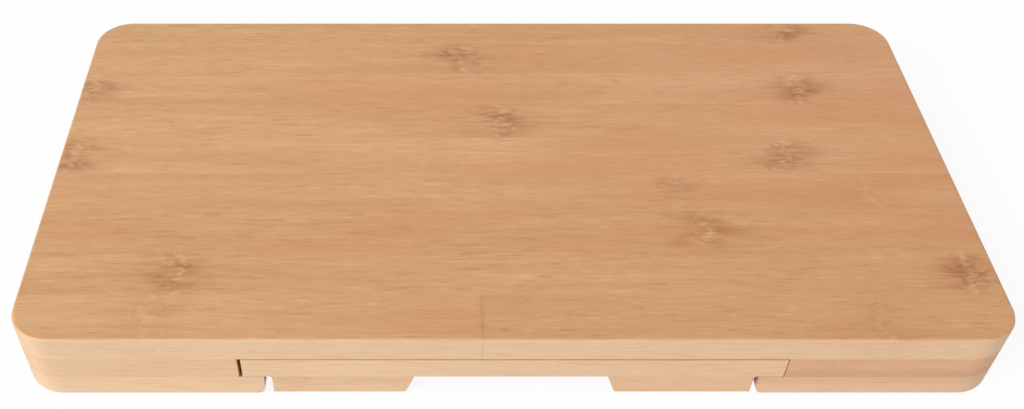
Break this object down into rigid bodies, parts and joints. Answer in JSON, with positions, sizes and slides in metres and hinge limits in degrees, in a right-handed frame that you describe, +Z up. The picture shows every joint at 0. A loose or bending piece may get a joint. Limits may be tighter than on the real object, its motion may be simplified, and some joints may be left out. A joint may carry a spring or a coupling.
{
  "type": "bamboo cutting board",
  "caption": "Laminated bamboo cutting board with rounded corners and a flush drawer that slides out of a T-shaped channel in its front edge, pulled by a finger notch.",
  "frame": {"origin": "middle of the underside, on the surface that the board stands on", "axes": "+X along the board, to the right seen from the front; +Y from the front to the rear; +Z up"},
  "size_m": [0.4, 0.205, 0.036],
  "materials": {
    "bamboo_top": "sanded and oiled",
    "bamboo_core": "sanded and oiled",
    "bamboo_base": "sanded and oiled",
    "bamboo_drawer": "sanded and oiled",
    "bamboo_floor": "sanded"
  },
  "bodies": {
    "board": {"base_left_strip_1": "bamboo_base", "base_left_strip_2": "bamboo_base", "base_left_strip_3": "bamboo_base", "base_left_strip_4": "bamboo_base", "base_left_strip_5": "bamboo_base", "base_left_strip_6": "bamboo_base", "base_left_strip_7": "bamboo_base", "base_rear_strip_1": "bamboo_base", "base_rear_strip_2": "bamboo_base", "base_right_strip_1": "bamboo_base", "base_right_strip_2": "bamboo_base", "base_right_strip_3": "bamboo_base", "base_right_strip_4": "bamboo_base", "base_right_strip_5": "bamboo_base", "base_right_strip_6": "bamboo_base", "base_right_strip_7": "bamboo_base", "core_left_strip_1": "bamboo_core", "core_left_strip_2": "bamboo_core", "core_left_strip_3": "bamboo_core", "core_left_strip_4": "bamboo_core", "core_left_strip_5": "bamboo_core", "core_left_strip_6": "bamboo_core", "core_left_strip_7": "bamboo_core", "core_left_strip_8": "bamboo_core", "core_rear_strip_1": "bamboo_core", "core_rear_strip_2": "bamboo_core", "core_right_strip_1": "bamboo_core", "core_right_strip_2": "bamboo_core", "core_right_strip_3": "bamboo_core", "core_right_strip_4": "bamboo_core", "core_right_strip_5": "bamboo_core", "core_right_strip_6": "bamboo_core", "core_right_strip_7": "bamboo_core", "core_right_strip_8": "bamboo_core", "top_strip_1": "bamboo_top", "top_strip_2": "bamboo_top", "top_strip_3": "bamboo_top", "top_strip_4": "bamboo_top", "top_strip_5": "bamboo_top", "top_strip_6": "bamboo_top", "top_strip_7": "bamboo_top", "top_strip_8": "bamboo_top", "top_front_left_strip": "bamboo_top", "top_front_right_strip": "bamboo_top"},
    "drawer": {"drawer_floor": "bamboo_floor", "drawer_front_rail": "bamboo_drawer", "drawer_left_grip": "bamboo_drawer", "drawer_left_runner": "bamboo_drawer", "drawer_left_side": "bamboo_drawer", "drawer_notch_bar": "bamboo_drawer", "drawer_rear_rail": "bamboo_drawer", "drawer_rear_wall": "bamboo_drawer", "drawer_right_grip": "bamboo_drawer", "drawer_right_runner": "bamboo_drawer", "drawer_right_side": "bamboo_drawer"}
  },
  "joints": [
    {"name": "drawer_slide", "type": "slide", "parent": "board", "child": "drawer", "axis": [0, -1, 0], "range_m": [0, 0.176]}
  ]
}
